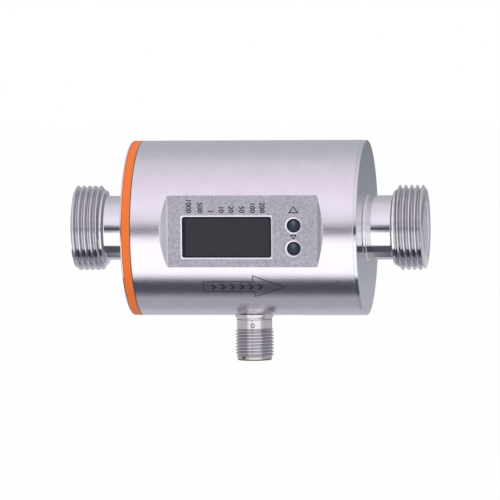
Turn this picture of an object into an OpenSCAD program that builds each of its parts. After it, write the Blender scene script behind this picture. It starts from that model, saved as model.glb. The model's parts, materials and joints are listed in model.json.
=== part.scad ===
// Electromagnetic flow meter with a tubular housing, a front display and an M12 plug.
// X runs along the flow from the inlet face, the display looks along -Y, the plug along -Z.

/* [Process connection] */
// Length of each fitting outside the housing, along the flow
fitting_len = 18.3; // [16:0.1:28]
// Outside diameter of the pipe thread
pipe_thread_d = 26.44; // [25.5:0.1:28]
// Pitch of the pipe thread
pipe_pitch = 1.814; // [1.5:0.05:1.85]
// Depth of the pipe thread
pipe_thread_depth = 1.16; // [0.8:0.05:1.2]
// Number of crests on each pipe thread
pipe_turns = 5; // [3:1:5]
// Length of each threaded end
pipe_end_len = 10; // [10:0.5:12]
// Chamfer at the start of the pipe thread, along the axis
pipe_chamfer_len = 0.35; // [0.2:0.05:0.6]
// Chamfer at the start of the pipe thread, across the axis
pipe_chamfer_r = 0.8; // [0.4:0.1:1.2]
// Outside diameter of the neck behind the thread
neck_d = 20; // [19.5:0.1:20.6]
// Bore that the liquid flows through
bore_d = 16; // [14:0.1:16.4]

/* [Housing] */
// Outside diameter of the housing
housing_d = 54.5; // [54:0.5:58]
// Wall of the housing tube
housing_wall = 5; // [4.6:0.1:5.2]
// Length of the housing over both end caps
housing_len = 73.4; // [66:0.2:84]
// Thickness of the inlet cap's outer lip
inlet_lip = 0.5; // [0.4:0.1:1.5]
// Width of the insulating ring's visible band
ring_band = 2.55; // [1.5:0.05:3]
// Thickness of the outlet cap's outer rim
outlet_rim = 1.15; // [0.8:0.05:2]
// Depth of each end cap from its outer face to its inner end
cap_depth = 8; // [7.5:0.1:9]
// Thickness of each end cap's plate
cap_plate = 4.2; // [3:0.1:4.4]
// Edge chamfer of the housing pieces
edge_chamfer = 0.2; // [0.1:0.05:0.3]

/* [Display face] */
// Length of the milled flat, along the flow
flat_len = 46; // [44:0.5:48]
// Height of the milled flat
flat_h = 22.3; // [21.6:0.1:22.8]
// Width of the display window
window_w = 27.6; // [25:0.1:28]
// Height of the display window
window_h = 12.5; // [11:0.1:12.8]
// Thickness of the window glass
window_t = 1.3; // [1:0.1:1.4]
// Shift of the window's centre towards the inlet
window_shift = 4.84; // [4:0.05:5]
// Shift of the buttons' centre line towards the outlet
button_shift = 15.98; // [15.6:0.05:16.4]
// Drop of the window and the buttons below the flow axis
display_drop = 1.8; // [1.4:0.1:2]
// Distance between the two buttons
button_pitch = 7.08; // [6.6:0.05:7.4]
// Diameter of each button
button_d = 4; // [3.6:0.1:4.1]
// Travel of each button
button_travel = 0.5; // [0.3:0.05:0.5]

/* [Plug] */
// Length of the plug below the housing
plug_len = 14.01; // [13.6:0.1:17]
// Outside diameter of the plug thread
plug_thread_d = 12; // [11.8:0.05:12.1]
// Pitch of the plug thread
plug_pitch = 1; // [0.75:0.05:1.02]
// Depth of the plug thread
plug_thread_depth = 0.6; // [0.4:0.05:0.62]
// Number of crests on the plug thread
plug_turns = 8; // [5:1:8]
// Diameter of the plug body where it leaves the housing
plug_body_d = 12.2; // [12.15:0.05:12.4]
// Diameter of the plug's plain neck
plug_neck_d = 11; // [10.9:0.05:11.2]
// Inside diameter of the plug's socket
plug_socket_d = 8.9; // [8.6:0.05:9]
// Diameter of the circle that the contact pins stand on
pin_circle_d = 5.66; // [5.4:0.05:5.8]
// Diameter of each contact pin
pin_d = 1; // [0.8:0.05:1.1]
// Number of contact pins
pin_count = 4; // [3:1:5]

/* [Hidden] */
$fn = 96;
// Overrun of every cut past the face it opens
over = 1;
// Running clearance of pieces that slide or slip into each other
fit = 0.05;
// Clearance of pieces that are laid in loosely
ease = 0.15;
// Steps of a small arc, and facets of a seal's section
arc_steps = 6;
section_facets = 32;

// Radii of the process connection
pipe_r = pipe_thread_d / 2;
neck_r = neck_d / 2;
bore_r = bore_d / 2;
// Shares of the pitch taken by a thread's crest and by each flank
crest_share = 0.2;
flank_share = 0.3;
// Plain ring that ends the pipe thread on the neck side
runout_r = 11.7;
runout_len = 0.6;
runout_chamfer = 0.5;
// Weld collar where the neck leaves an end cap
weld_len = 0.6;
weld_rise = 0.35;

// Places of the housing pieces along the flow
housing_r = housing_d / 2;
housing_bore_r = housing_r - housing_wall;
meter_len = housing_len + 2 * fitting_len;
housing_start = fitting_len;
housing_end = housing_start + housing_len;
tube_start = housing_start + inlet_lip + ring_band;
tube_end = housing_end - outlet_rim;
mid_x = (tube_start + tube_end) / 2;
// Sleeve of the insulating ring inside the housing tube
sleeve_wall = 1;
inlet_plug_r = housing_bore_r - sleeve_wall - 2 * fit;
outlet_plug_r = housing_bore_r - fit;
// Ring wall and hub of each end cap
cap_rim_wall = 3;
cap_hub_wall = 2.95;
hub_seat_depth = 2;
// Round seals: section diameters, and the room that their grooves leave
cap_seal_d = 1.5;
tube_seal_d = 1.3;
seal_slack = 0.02;
groove_slack = 0.4;

// Measuring tube: its plastic wall, its end sockets and the cones between them
liner_wall = 3;
liner_r = bore_r + liner_wall;
socket_wall = 2.95;
socket_r = neck_r + fit + socket_wall;
socket_depth = 6.2;
socket_floor = 1;
socket_cone = 2;
cap_hub_r = socket_r + fit + cap_hub_wall;
liner_start = housing_start + cap_depth - hub_seat_depth;
liner_end = meter_len - liner_start;
liner_cone_start = liner_start + socket_depth + socket_floor;
tail_end = liner_start + socket_depth - fit;
tail_seal_at = liner_start + socket_depth / 2;

// Electrodes: distances are counted outwards from the flow axis
boss_rise = 1.4;
boss_r = 4.5;
boss_top = liner_r + boss_rise;
electrode_shank_r = 1.5;
electrode_head_r = 2.85;
electrode_head_t = 0.9;
electrode_seal_t = 0.5;
electrode_recess = 1;
electrode_tail = 2.4;
electrode_edge = 0.25;
nut_across_flats = 5.5;
nut_t = 1.85;
recess_floor = bore_r + electrode_recess;
head_back = recess_floor - electrode_seal_t - 2 * fit;

// Temperature probe behind the measuring tube
probe_shift = 9;
probe_r = 1.2;
probe_flange_r = 2.6;
probe_flange_t = 1;
probe_tail = 3;
probe_tail_r = 0.9;
probe_boss_r = 3.6;

// Magnet circuit
pole_half_len = 11;
pole_half_w = 8;
pole_t = 1.5;
core_r = 3;
yoke_wall = 1.2;
yoke_gap = 0.3;
yoke_mouth = 12;
yoke_outer_r = housing_bore_r - yoke_gap;
yoke_inner_r = yoke_outer_r - yoke_wall;
pole_inner_r = liner_r + fit;
pole_outer_r = pole_inner_r + pole_t;
bobbin_r = 8;
bobbin_wall = 0.8;
bobbin_barrel_r = 4;
bobbin_start = pole_outer_r + fit;
bobbin_end = sqrt(pow(yoke_inner_r, 2) - pow(bobbin_r, 2)) - ease;
coil_margin = 0.4;

// Display flat and what lies behind it, as distances in front of the flow axis
flat_front = sqrt(pow(housing_r, 2) - pow(flat_h / 2, 2));
flat_fillet = 0.5;
flank_angle = 50;
flank_len = 1.8;
flank_crown = 4;
flank_top_angle = 24;
window_sink = 0.1;
gasket_t = 0.2;
window_corner = 0.6;
window_bevel = 0.3;
ledge_w = 1.2;
ledge_front = flat_front - window_sink - window_t - gasket_t;
button_wall = 2.27;
button_seat = flat_front - button_wall;
button_flange_r = 2.7;
button_flange_t = 0.45;
button_seal_t = 0.4;
button_rise = 0.2;
button_dome = 0.3;
button_bevel = 0.45;
pocket_half = 3.4;
flange_back = button_seat - button_seal_t - fit - button_flange_t;
switch_front = flange_back - button_travel - fit;
switch_t = 0.75;
switch_w = 4.8;
plunger_r = 1.1;
plunger_sink = 0.2;
display_board_t = 1;
display_board_front = switch_front - switch_t;
display_board_back = display_board_front - display_board_t;
board_spacing = 2.5;
main_board_t = 1.6;
main_board_front = display_board_back - board_spacing;
main_board_back = main_board_front - main_board_t;
button_x = mid_x + button_shift;
window_x = mid_x - window_shift;
button_zs = [button_pitch / 2 - display_drop, -button_pitch / 2 - display_drop];

// Boards and the carrier that holds them
display_board_h = 16.8;
main_board_h = 26;
carrier_t = 3;
carrier_half_h = 13;
carrier_drop = 9.3;
rail_w = 2;
post_r = 1.4;
post_z = 5.5;
screw_r = 0.8;
screw_head_r = 1.5;
screw_head_t = 0.6;
screw_slot_w = 0.4;
screw_slot_depth = 0.3;
screw_bite = 3;
board_edge = 0.5;
post_x = max(button_shift + switch_w / 2, window_shift + window_w / 2 - ledge_w)
    + screw_head_r + ease;
display_board_w = 2 * (post_x + screw_head_r + board_edge);
main_board_w = 2 * (post_x + post_r + ease + board_edge);
header_w = 2.5;
header_h = 12.7;
header_shift = 12.2;
header_slot = 0.6;
chip_t = 1;
chip_w = 7;
chip_shift = -5;
small_chip_w = 4;
small_chip_h = 5;
small_chip_shift = 6;
module_gap = 0.1;

// Plug: distances are counted downwards from the flow axis
plug_flange_r = 7.6;
plug_flange_t = 2;
plug_top_gap = 0.2;
plug_reach = housing_r + plug_len;
plug_cone_start = housing_r + fit;
plug_cone_len = 1;
plug_thread_back = 9.46;
plug_thread_start = plug_reach - plug_thread_back;
plug_tip_d = 10.9;
plug_rim_d = 10.3;
plug_tip_len = 0.8;
plug_seal_d = 0.85;
plug_shoulder = 1;
plug_shoulder_r = 3.9;
insert_depth = 8.3;
pin_sink = 1.3;
pin_tail = 1;
pin_tip = 0.3;
key_w = 1.2;
key_rise = 0.7;
key_len = 5;
plug_top = housing_bore_r + plug_top_gap;
plug_flange_end = plug_top + plug_flange_t;
insert_front = plug_reach - insert_depth;
insert_back = plug_top + plug_shoulder + fit;

// Points of a ring-grooved thread: crest, falling flank, root and rising flank, once per turn
function thread_points(r, depth, pitch, turns, start) = [
    for (i = [0 : turns - 1]) each [
        [r, start + i * pitch],
        [r, start + (i + crest_share) * pitch],
        [r - depth, start + (i + crest_share + flank_share) * pitch],
        [r - depth, start + (i + 1 - flank_share) * pitch]
    ]
];

// Points of an arc about a centre, from one angle to another
function arc_points(centre, r, from, to, steps) = [
    for (i = [0 : steps])
        let (a = from + (to - from) * i / steps)
            [centre.x + r * cos(a), centre.y + r * sin(a)]
];

// Outline of a rectangle with round corners, centred
function round_rect_points(w, h, r) = [
    for (q = [0 : 3]) each arc_points(
        [(q == 0 || q == 3 ? 1 : -1) * (w / 2 - r), (q < 2 ? 1 : -1) * (h / 2 - r)],
        r, 90 * q, 90 * (q + 1), arc_steps)
];

// Outline of the measuring tube, widened by a gap
function liner_outline(gap) = [
    [socket_r + gap, liner_start],
    [socket_r + gap, liner_cone_start],
    [liner_r + gap, liner_cone_start + socket_cone],
    [liner_r + gap, meter_len - liner_cone_start - socket_cone],
    [socket_r + gap, meter_len - liner_cone_start],
    [socket_r + gap, liner_end]
];

// Turned piece about the flow axis, from points of radius and place
module turned_x(points) {
    rotate([0, 90, 0])
        rotate_extrude()
            polygon([for (p = points) [p[0], p[1]]]);
}

// The same piece at the outlet end
module at_outlet() {
    translate([meter_len, 0, 0])
        mirror([1, 0, 0])
            children();
}

// Round seal about the flow axis
module ring_seal_x(r, section_r, x) {
    translate([x, 0, 0])
        rotate([0, 90, 0])
            rotate_extrude()
                translate([r, 0])
                    circle(section_r, $fn = section_facets);
}

// Flat outline set upright, from its back face forwards by its thickness
module upright(back, thick) {
    translate([0, -back, 0])
        rotate([90, 0, 0])
            linear_extrude(thick)
                children();
}

// Rod along the display's axis, from its back end forwards
module front_rod(x, z, back, len, r) {
    translate([x, -back, z])
        rotate([90, 0, 0])
            cylinder(h = len, r = r);
}

// Turned piece that stands on the measuring tube, front or rear
module turned_y(points, x = mid_x, rear = false) {
    translate([x, 0, 0])
        rotate([rear ? -90 : 90, 0, 0])
            rotate_extrude()
                polygon(points);
}

// Turned piece about the plug's axis, from points of radius and reach below the flow axis
module turned_down(points) {
    translate([mid_x, 0, 0])
        rotate([180, 0, 0])
            rotate_extrude()
                polygon(points);
}

// Pipe fitting: threaded end, neck, weld collar and a tail with a seal groove
module fitting_shape() {
    groove_half = (tube_seal_d + groove_slack) / 2;
    thread_end = pipe_chamfer_len + (pipe_turns - flank_share) * pipe_pitch;
    ring_start = max(thread_end, pipe_end_len - runout_len - runout_chamfer);
    turned_x([
        [bore_r, 0],
        [pipe_r - pipe_chamfer_r, 0],
        each thread_points(pipe_r, pipe_thread_depth, pipe_pitch, pipe_turns, pipe_chamfer_len),
        [runout_r, ring_start],
        [runout_r, pipe_end_len - runout_chamfer],
        [runout_r - runout_chamfer, pipe_end_len - runout_chamfer / 2],
        [neck_r, pipe_end_len],
        [neck_r, housing_start - weld_len],
        [neck_r + weld_rise, housing_start - weld_len / 2],
        [neck_r + weld_rise, housing_start],
        [neck_r, housing_start],
        [neck_r, tail_seal_at - groove_half],
        [neck_r + fit - tube_seal_d, tail_seal_at - groove_half],
        [neck_r + fit - tube_seal_d, tail_seal_at + groove_half],
        [neck_r, tail_seal_at + groove_half],
        [neck_r, tail_end - edge_chamfer],
        [neck_r - edge_chamfer, tail_end],
        [bore_r, tail_end]
    ]);
}

module inlet_fitting() {
    color([0.80, 0.79, 0.82]) fitting_shape();
}

module outlet_fitting() {
    color([0.80, 0.79, 0.82]) at_outlet() fitting_shape();
}

// End cap: outer lip, plate, plug with a seal groove, and the hub that centres the tube
module cap_shape(lip, plug_r) {
    hole_r = neck_r + fit;
    seat_r = socket_r + fit;
    seal_at = (cap_plate + cap_depth) / 2;
    groove_half = (cap_seal_d + groove_slack) / 2;
    groove_r = plug_r + fit - cap_seal_d;
    turned_x([
        [hole_r, housing_start],
        [housing_r - edge_chamfer, housing_start],
        [housing_r, housing_start + edge_chamfer],
        [housing_r, housing_start + lip - edge_chamfer / 2],
        [housing_r - edge_chamfer / 2, housing_start + lip],
        [plug_r, housing_start + lip],
        [plug_r, housing_start + seal_at - groove_half],
        [groove_r, housing_start + seal_at - groove_half],
        [groove_r, housing_start + seal_at + groove_half],
        [plug_r, housing_start + seal_at + groove_half],
        [plug_r, housing_start + cap_depth],
        [plug_r - cap_rim_wall, housing_start + cap_depth],
        [plug_r - cap_rim_wall, housing_start + cap_plate],
        [cap_hub_r, housing_start + cap_plate],
        [cap_hub_r, housing_start + cap_depth],
        [seat_r, housing_start + cap_depth],
        [seat_r, liner_start],
        [hole_r, liner_start]
    ]);
}

module inlet_end_cap() {
    color([0.78, 0.77, 0.80]) cap_shape(inlet_lip, inlet_plug_r);
}

module outlet_end_cap() {
    color([0.66, 0.67, 0.69]) at_outlet() cap_shape(outlet_rim, outlet_plug_r);
}

// Insulating ring: visible band and the sleeve that lines the housing tube
module insulating_ring() {
    inner_r = inlet_plug_r + fit;
    sleeve_r = housing_bore_r - fit;
    band_start = housing_start + inlet_lip;
    color([0.94, 0.45, 0.17])
        turned_x([
            [inner_r, band_start],
            [housing_r - edge_chamfer, band_start],
            [housing_r, band_start + edge_chamfer],
            [housing_r, tube_start - edge_chamfer],
            [housing_r - edge_chamfer, tube_start],
            [sleeve_r, tube_start],
            [sleeve_r, housing_start + cap_depth],
            [inner_r, housing_start + cap_depth]
        ]);
}

// Seal between an end cap's plug and the wall round it
module cap_seal_shape(plug_r) {
    section_r = cap_seal_d / 2;
    ring_seal_x(plug_r + fit - section_r, section_r - seal_slack,
        housing_start + (cap_plate + cap_depth) / 2);
}

module inlet_cap_seal() {
    color([0.12, 0.12, 0.13]) cap_seal_shape(inlet_plug_r);
}

module outlet_cap_seal() {
    color([0.12, 0.12, 0.13]) at_outlet() cap_seal_shape(outlet_plug_r);
}

// Profile that mills the flat: floor, small fillets, steep flanks and rounded tops
module flat_profile() {
    side = [
        each arc_points([flat_len / 2, flat_fillet], flat_fillet, -90, flank_angle - 90,
            arc_steps),
        each arc_points(
            [
                flat_len / 2 + flat_fillet * sin(flank_angle) + flank_len * cos(flank_angle)
                    + flank_crown * sin(flank_angle),
                flat_fillet * (1 - cos(flank_angle)) + flank_len * sin(flank_angle)
                    - flank_crown * cos(flank_angle)
            ],
            flank_crown, flank_angle + 90, flank_top_angle + 90, arc_steps)
    ];
    top = max([for (p = side) p.y]) + over;
    rim = max([for (p = side) p.x]);
    polygon([
        each side,
        [rim, top],
        [-rim, top],
        for (i = [len(side) - 1 : -1 : 0]) [-side[i].x, side[i].y]
    ]);
}

// Milled flat across the front of the housing tube
module flat_cut() {
    translate([mid_x, -flat_front, -housing_r])
        mirror([0, 1, 0])
            linear_extrude(housing_d)
                flat_profile();
}

// Stepped opening for the window: bevel, glass seat and the smaller hole behind its ledge
module window_cut() {
    inner_w = window_w - 2 * ledge_w;
    inner_h = window_h - 2 * ledge_w;
    translate([window_x, 0, -display_drop]) {
        upright(ledge_front, flat_front + over - ledge_front)
            polygon(round_rect_points(window_w, window_h, window_corner));
        upright(main_board_front, flat_front - main_board_front)
            polygon(round_rect_points(inner_w, inner_h, window_corner));
        hull() {
            upright(flat_front - window_bevel, fit)
                polygon(round_rect_points(window_w, window_h, window_corner));
            upright(flat_front, fit)
                polygon(round_rect_points(window_w + 2 * window_bevel, window_h + 2 * window_bevel,
                    window_corner + window_bevel));
        }
    }
}

// Button holes with their bevels, and the milled pocket behind them
module button_cuts() {
    hole_r = button_d / 2 + fit;
    pocket_top = button_zs[0] + pocket_half;
    pocket_bottom = button_zs[1] - pocket_half;
    for (z = button_zs) {
        front_rod(button_x, z, main_board_front, flat_front + over - main_board_front, hole_r);
        translate([button_x, -flat_front + button_bevel, z])
            rotate([90, 0, 0])
                cylinder(h = 2 * button_bevel, r1 = hole_r, r2 = hole_r + 2 * button_bevel);
    }
    translate([button_x - pocket_half, -button_seat, pocket_bottom])
        cube([2 * pocket_half, button_seat - main_board_front, pocket_top - pocket_bottom]);
}

// Hole for the plug with the counterbore that takes its flange from inside
module plug_cut() {
    turned_down([
        [0, 0],
        [plug_flange_r + fit, 0],
        [plug_flange_r + fit, plug_flange_end],
        [plug_body_d / 2 + fit, plug_flange_end],
        [plug_body_d / 2 + fit, housing_r + over],
        [0, housing_r + over]
    ]);
}

module housing_tube() {
    color([0.79, 0.78, 0.82])
        difference() {
            turned_x([
                [housing_bore_r, tube_start],
                [housing_r - edge_chamfer, tube_start],
                [housing_r, tube_start + edge_chamfer],
                [housing_r, tube_end - edge_chamfer / 2],
                [housing_r - edge_chamfer / 2, tube_end],
                [housing_bore_r, tube_end]
            ]);
            flat_cut();
            window_cut();
            button_cuts();
            plug_cut();
        }
}

// Measuring tube: bore, end sockets, electrode and probe bosses
module measuring_tube() {
    color([0.86, 0.82, 0.72])
        difference() {
            union() {
                turned_x([
                    [bore_r, liner_start + socket_depth],
                    [neck_r + fit, liner_start + socket_depth],
                    [neck_r + fit, liner_start],
                    each liner_outline(0),
                    [neck_r + fit, liner_end],
                    [neck_r + fit, liner_end - socket_depth],
                    [bore_r, liner_end - socket_depth]
                ]);
                for (rear = [false, true])
                    turned_y([
                        [0, bore_r + liner_wall / 2],
                        [boss_r, bore_r + liner_wall / 2],
                        [boss_r, boss_top],
                        [0, boss_top]
                    ], mid_x, rear);
                turned_y([
                    [0, bore_r + liner_wall / 2],
                    [probe_boss_r, bore_r + liner_wall / 2],
                    [probe_boss_r, boss_top],
                    [0, boss_top]
                ], mid_x + probe_shift, true);
            }
            turned_x([
                [0, liner_start + socket_depth - fit],
                [bore_r, liner_start + socket_depth - fit],
                [bore_r, liner_end - socket_depth + fit],
                [0, liner_end - socket_depth + fit]
            ]);
            for (rear = [false, true])
                turned_y([
                    [0, 0],
                    [electrode_head_r + fit, 0],
                    [electrode_head_r + fit, recess_floor],
                    [electrode_shank_r + fit, recess_floor],
                    [electrode_shank_r + fit, boss_top + over],
                    [0, boss_top + over]
                ], mid_x, rear);
            turned_y([
                [0, 0],
                [probe_r + fit, 0],
                [probe_r + fit, boss_top + over],
                [0, boss_top + over]
            ], mid_x + probe_shift, true);
        }
}

// Seal on a fitting's tail, inside the measuring tube's socket
module tube_seal_shape() {
    section_r = tube_seal_d / 2;
    ring_seal_x(neck_r + fit - section_r, section_r - seal_slack, tail_seal_at);
}

module inlet_tube_seal() {
    color([0.12, 0.12, 0.13]) tube_seal_shape();
}

module outlet_tube_seal() {
    color([0.12, 0.12, 0.13]) at_outlet() tube_seal_shape();
}

// Electrode: flat head in the bore's wall and a shank through the boss
module electrode_shape(rear) {
    turned_y([
        [0, head_back - electrode_head_t],
        [electrode_head_r - electrode_edge, head_back - electrode_head_t],
        [electrode_head_r, head_back - electrode_head_t + electrode_edge],
        [electrode_head_r, head_back],
        [electrode_shank_r, head_back],
        [electrode_shank_r, boss_top + electrode_tail - electrode_edge],
        [electrode_shank_r - electrode_edge, boss_top + electrode_tail],
        [0, boss_top + electrode_tail]
    ], mid_x, rear);
}

module front_electrode() {
    color([0.72, 0.72, 0.75]) electrode_shape(false);
}

module rear_electrode() {
    color([0.72, 0.72, 0.75]) electrode_shape(true);
}

module electrode_seal_shape(rear) {
    turned_y([
        [electrode_shank_r + fit, head_back + fit],
        [electrode_head_r, head_back + fit],
        [electrode_head_r, recess_floor - fit],
        [electrode_shank_r + fit, recess_floor - fit]
    ], mid_x, rear);
}

module front_electrode_seal() {
    color([0.15, 0.15, 0.16]) electrode_seal_shape(false);
}

module rear_electrode_seal() {
    color([0.15, 0.15, 0.16]) electrode_seal_shape(true);
}

// Hexagon nut that pulls an electrode against its seal
module electrode_nut_shape(rear) {
    translate([mid_x, 0, 0])
        rotate([rear ? -90 : 90, 0, 0])
            translate([0, 0, boss_top + fit])
                difference() {
                    cylinder(h = nut_t, d = nut_across_flats / cos(30), $fn = 6);
                    translate([0, 0, -over])
                        cylinder(h = nut_t + 2 * over, r = electrode_shank_r + fit);
                }
}

module front_electrode_nut() {
    color([0.75, 0.68, 0.45]) electrode_nut_shape(false);
}

module rear_electrode_nut() {
    color([0.75, 0.68, 0.45]) electrode_nut_shape(true);
}

module temperature_probe() {
    color([0.70, 0.70, 0.73])
        turned_y([
            [0, bore_r],
            [probe_r, bore_r],
            [probe_r, boss_top + fit],
            [probe_flange_r, boss_top + fit],
            [probe_flange_r, boss_top + fit + probe_flange_t],
            [probe_tail_r, boss_top + fit + probe_flange_t],
            [probe_tail_r, boss_top + probe_tail],
            [0, boss_top + probe_tail]
        ], mid_x + probe_shift, true);
}

// Pole piece: a saddle on the measuring tube and the core that reaches the yoke
module pole_piece_shape() {
    translate([mid_x, 0, 0])
        union() {
            intersection() {
                rotate([0, 90, 0])
                    difference() {
                        cylinder(h = 2 * pole_half_len, r = pole_outer_r, center = true);
                        cylinder(h = 2 * (pole_half_len + over), r = pole_inner_r, center = true);
                    }
                translate([-pole_half_len - over, -pole_half_w, 0])
                    cube([2 * (pole_half_len + over), 2 * pole_half_w, pole_outer_r + over]);
            }
            intersection() {
                translate([0, 0, pole_inner_r + pole_t / 2])
                    cylinder(h = yoke_inner_r, r = core_r);
                rotate([0, 90, 0])
                    cylinder(h = 2 * pole_half_len, r = yoke_inner_r - fit, center = true);
            }
        }
}

module upper_pole_piece() {
    color([0.45, 0.46, 0.48]) pole_piece_shape();
}

module lower_pole_piece() {
    color([0.45, 0.46, 0.48]) mirror([0, 0, 1]) pole_piece_shape();
}

// Coil former with two flanges
module bobbin_shape() {
    translate([mid_x, 0, 0])
        rotate_extrude()
            polygon([
                [core_r + fit, bobbin_start],
                [bobbin_r, bobbin_start],
                [bobbin_r, bobbin_start + bobbin_wall],
                [bobbin_barrel_r, bobbin_start + bobbin_wall],
                [bobbin_barrel_r, bobbin_end - bobbin_wall],
                [bobbin_r, bobbin_end - bobbin_wall],
                [bobbin_r, bobbin_end],
                [core_r + fit, bobbin_end]
            ]);
}

module upper_bobbin() {
    color([0.20, 0.22, 0.24]) bobbin_shape();
}

module lower_bobbin() {
    color([0.20, 0.22, 0.24]) mirror([0, 0, 1]) bobbin_shape();
}

// Winding between the bobbin's flanges
module coil_shape() {
    low = bobbin_start + bobbin_wall + fit;
    high = bobbin_end - bobbin_wall - fit;
    translate([mid_x, 0, 0])
        rotate_extrude()
            polygon([
                [bobbin_barrel_r + fit, low],
                [bobbin_r - coil_margin, low],
                [bobbin_r - coil_margin, high],
                [bobbin_barrel_r + fit, high]
            ]);
}

module upper_coil() {
    color([0.72, 0.38, 0.18]) coil_shape();
}

module lower_coil() {
    color([0.72, 0.38, 0.18]) mirror([0, 0, 1]) coil_shape();
}

// Yoke: a ring round the coils, open towards the boards
module magnet_yoke() {
    color([0.50, 0.51, 0.53])
        translate([mid_x, 0, 0])
            difference() {
                rotate([0, 90, 0])
                    difference() {
                        cylinder(h = 2 * pole_half_len, r = yoke_outer_r, center = true);
                        cylinder(h = 2 * (pole_half_len + over), r = yoke_inner_r, center = true);
                    }
                translate([-pole_half_len - over, -yoke_outer_r - over, -yoke_outer_r])
                    cube([2 * (pole_half_len + over), yoke_outer_r + over - yoke_mouth,
                        2 * yoke_outer_r]);
            }
}

// Carrier: two saddles on the measuring tube, two rails and four stepped posts
module board_carrier() {
    color([0.25, 0.27, 0.30])
        difference() {
            union() {
                for (side = [-1, 1])
                    translate([mid_x + side * post_x - carrier_t / 2, -main_board_back,
                        -carrier_half_h])
                        cube([carrier_t, carrier_drop, 2 * carrier_half_h]);
                for (side = [-1, 1])
                    translate([mid_x - post_x, -main_board_back,
                        side * (carrier_half_h - rail_w / 2) - rail_w / 2])
                        cube([2 * post_x, rail_w, rail_w]);
                for (sx = [-1, 1], sz = [-1, 1])
                    front_rod(mid_x + sx * post_x, sz * post_z, main_board_back - rail_w / 2,
                        display_board_back - main_board_back + rail_w / 2, post_r);
            }
            turned_x([[0, liner_start], each liner_outline(fit), [0, liner_end]]);
            for (sx = [-1, 1], sz = [-1, 1])
                front_rod(mid_x + sx * post_x, sz * post_z, display_board_back - screw_bite - fit,
                    screw_bite + fit + over, screw_r + fit);
        }
}

// Main board with its holes for the posts and its larger circuits
module main_board() {
    color([0.12, 0.36, 0.22]) {
        difference() {
            translate([mid_x, 0, 0])
                upright(main_board_back, main_board_t)
                    square([main_board_w, main_board_h], center = true);
            for (sx = [-1, 1], sz = [-1, 1])
                front_rod(mid_x + sx * post_x, sz * post_z, main_board_back - over,
                    main_board_t + 2 * over, post_r + ease);
        }
        translate([mid_x + chip_shift, 0, 0])
            upright(main_board_front, chip_t)
                square([chip_w, chip_w], center = true);
        for (side = [-1, 1])
            translate([mid_x + small_chip_shift, 0, side * small_chip_h])
                upright(main_board_front, chip_t)
                    square([small_chip_w, small_chip_h], center = true);
    }
}

// Socket strip that joins the two boards
module board_header() {
    strip_t = board_spacing - 2 * fit;
    color([0.10, 0.10, 0.11])
        translate([mid_x + header_shift, 0, 0])
            difference() {
                upright(main_board_front + fit, strip_t)
                    square([header_w, header_h], center = true);
                upright(main_board_front + fit + strip_t / 2, strip_t)
                    square([header_slot, header_h - header_w], center = true);
            }
}

// Display board with four screw holes
module display_board() {
    color([0.12, 0.36, 0.22])
        difference() {
            translate([mid_x, 0, 0])
                upright(display_board_back, display_board_t)
                    square([display_board_w, display_board_h], center = true);
            for (sx = [-1, 1], sz = [-1, 1])
                front_rod(mid_x + sx * post_x, sz * post_z, display_board_back - over,
                    display_board_t + 2 * over, screw_r + fit);
        }
}

// Four slotted screws that hold the display board on the posts
module board_screws() {
    color([0.75, 0.75, 0.78])
        for (sx = [-1, 1], sz = [-1, 1])
            difference() {
                union() {
                    front_rod(mid_x + sx * post_x, sz * post_z, display_board_back - screw_bite,
                        screw_bite + display_board_t + screw_head_t / 2, screw_r);
                    front_rod(mid_x + sx * post_x, sz * post_z, display_board_front,
                        screw_head_t, screw_head_r);
                }
                translate([mid_x + sx * post_x, 0, sz * post_z])
                    upright(display_board_front + screw_head_t - screw_slot_depth,
                        screw_slot_depth + over)
                        square([2 * (screw_head_r + over), screw_slot_w], center = true);
            }
}

// Display module that looks through the opening behind the glass
module display_module() {
    module_w = window_w - 2 * (ledge_w + ease);
    module_h = window_h - 2 * (ledge_w + ease);
    color([0.16, 0.17, 0.19])
        translate([window_x, 0, -display_drop])
            upright(display_board_front, ledge_front - module_gap - display_board_front)
                polygon(round_rect_points(module_w, module_h, window_corner));
}

// Frame of soft foam between the ledge and the glass
module window_gasket() {
    color([0.10, 0.10, 0.11])
        translate([window_x, 0, -display_drop])
            upright(ledge_front, gasket_t)
                difference() {
                    polygon(round_rect_points(window_w - 2 * fit, window_h - 2 * fit, window_corner));
                    polygon(round_rect_points(window_w - 2 * ledge_w, window_h - 2 * ledge_w,
                        window_corner));
                }
}

module display_window() {
    color([0.22, 0.22, 0.25])
        translate([window_x, 0, -display_drop])
            upright(ledge_front + gasket_t, window_t)
                polygon(round_rect_points(window_w - 2 * fit, window_h - 2 * fit, window_corner));
}

// Push button: domed cap and the flange that keeps it behind the wall
module button_shape(z) {
    cap_r = button_d / 2;
    shoulder = flat_front + button_rise - button_dome;
    dome_r = (pow(cap_r, 2) + pow(button_dome, 2)) / (2 * button_dome);
    dome_angle = asin(cap_r / dome_r);
    color([0.20, 0.24, 0.29])
        translate([button_x, 0, z])
            rotate([90, 0, 0])
                rotate_extrude()
                    polygon([
                        [0, flange_back],
                        [button_flange_r, flange_back],
                        [button_flange_r, flange_back + button_flange_t],
                        [cap_r, flange_back + button_flange_t],
                        [cap_r, shoulder],
                        for (i = [1 : arc_steps])
                            let (a = dome_angle * (1 - i / arc_steps))
                                [dome_r * sin(a),
                                 flat_front + button_rise - dome_r * (1 - cos(a))]
                    ]);
}

module mode_button() {
    button_shape(button_zs[0]);
}

module set_button() {
    button_shape(button_zs[1]);
}

// Soft ring between a button's flange and the wall
module button_seal_shape(z) {
    color([0.10, 0.10, 0.11])
        translate([button_x, -button_seat + button_seal_t, z])
            rotate([90, 0, 0])
                difference() {
                    cylinder(h = button_seal_t, r = button_flange_r);
                    translate([0, 0, -over])
                        cylinder(h = button_seal_t + 2 * over, r = button_d / 2 + ease);
                }
}

module mode_button_seal() {
    button_seal_shape(button_zs[0]);
}

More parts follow.
